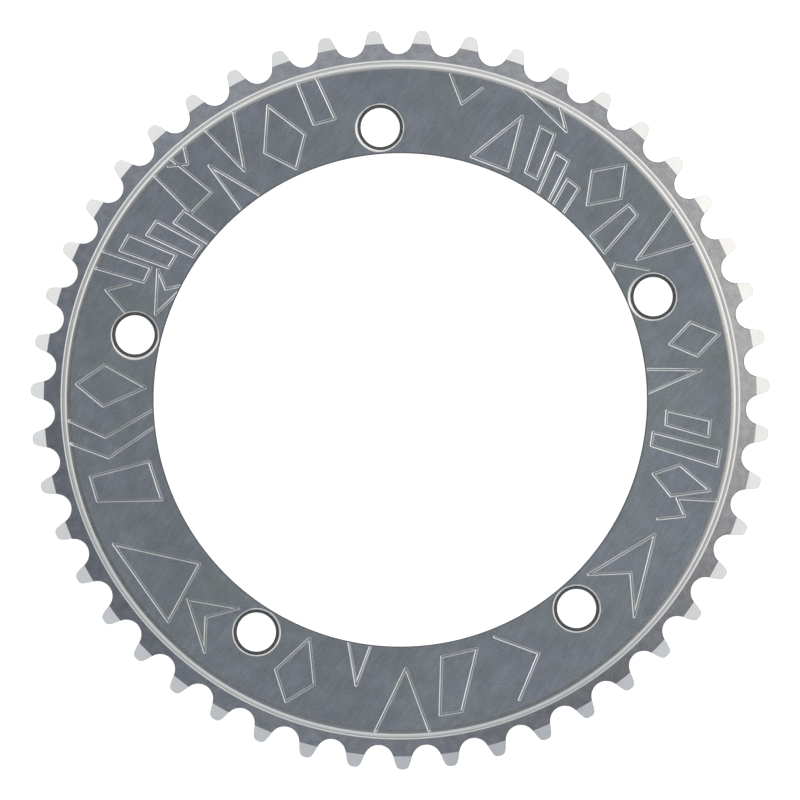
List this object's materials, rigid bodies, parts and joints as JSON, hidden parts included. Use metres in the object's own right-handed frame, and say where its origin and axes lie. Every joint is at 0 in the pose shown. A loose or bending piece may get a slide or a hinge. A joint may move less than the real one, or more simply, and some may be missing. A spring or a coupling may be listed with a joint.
{
  "type": "bicycle chainring",
  "caption": "Flat toothed ring for a track bicycle crank, with bevelled teeth, a step down to the teeth, counterbored bolt holes and an engraved front face.",
  "frame": {"origin": "centre of the bolt circle on the flat rear face", "axes": "+Z along the ring's axis out of the engraved front face, +Y towards the first bolt hole, with a tooth centred over it"},
  "size_m": [0.195, 0.195, 0.0047],
  "materials": {
    "satin_aluminium": "satin, finely brushed, with turned tooth bevels and step"
  },
  "bodies": {
    "root": {"chainring": "satin_aluminium"}
  },
  "joints": []
}
